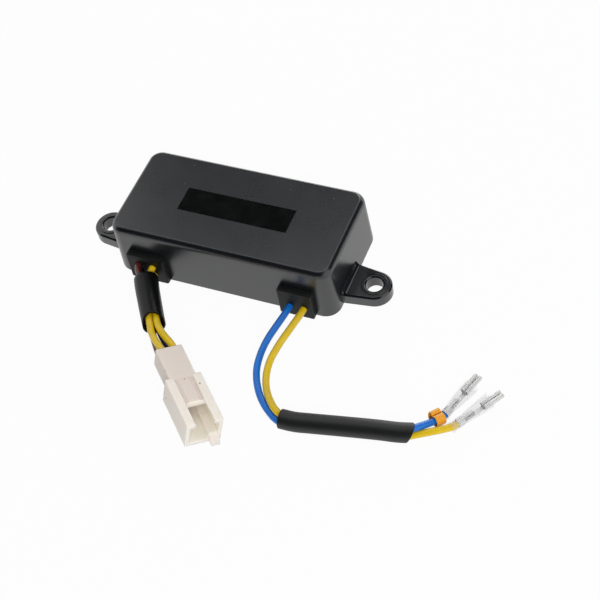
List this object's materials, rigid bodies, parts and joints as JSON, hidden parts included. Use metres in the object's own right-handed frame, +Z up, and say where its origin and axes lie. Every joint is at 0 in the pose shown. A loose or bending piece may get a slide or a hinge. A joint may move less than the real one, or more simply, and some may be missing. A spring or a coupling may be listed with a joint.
{
  "type": "automatic voltage regulator",
  "caption": "Potted black automatic voltage regulator for a petrol generator, with two fixing ears, a wired white plug and a pair of brush leads.",
  "frame": {"origin": "middle of the case's base, on the surface it is bolted to", "axes": "+X along the case towards the ear beside the brush leads, +Z up, the wires leave towards -Y"},
  "size_m": [0.1737, 0.1104, 0.023],
  "materials": {
    "black_plastic": "satin",
    "potting_resin": "gloss",
    "black_rubber": "matte",
    "board_laminate": "satin",
    "capacitor_sleeve": "gloss",
    "film_coat": "gloss",
    "moulded_epoxy": "matte",
    "diode_glass": "gloss",
    "resistor_coat": "satin",
    "trimmer_plastic": "gloss",
    "solder": "satin",
    "brown_pvc": "satin",
    "yellow_pvc": "satin",
    "navy_pvc": "satin",
    "blue_pvc": "satin",
    "sleeving": "satin",
    "natural_nylon": "satin",
    "contact_brass": "satin",
    "tinned_brass": "gloss",
    "clear_pvc": "gloss",
    "orange_tape": "satin"
  },
  "bodies": {
    "root": {"case": "black_plastic", "potting_compound": "potting_resin", "harness_grommet": "black_rubber", "lead_grommet": "black_rubber", "circuit_board": "board_laminate", "filter_capacitor": "capacitor_sleeve", "film_capacitor": "film_coat", "rectifier_diodes": "moulded_epoxy", "freewheel_diode": "moulded_epoxy", "zener_diode": "diode_glass", "power_resistors": "resistor_coat", "small_resistors": "resistor_coat", "power_transistor": "moulded_epoxy", "driver_transistors": "moulded_epoxy", "trimmer": "trimmer_plastic", "solder_tails": "solder", "brown_wire": "brown_pvc", "yellow_wire_a": "yellow_pvc", "yellow_wire_b": "yellow_pvc", "navy_wire": "navy_pvc", "blue_lead": "blue_pvc", "yellow_lead": "yellow_pvc", "harness_sleeve": "sleeving", "lead_sleeve": "sleeving", "plug_housing": "natural_nylon", "plug_contacts": "contact_brass", "blue_terminal": "tinned_brass", "yellow_terminal": "tinned_brass", "blue_boot": "clear_pvc", "yellow_boot": "clear_pvc", "wire_marker": "orange_tape"}
  },
  "joints": []
}
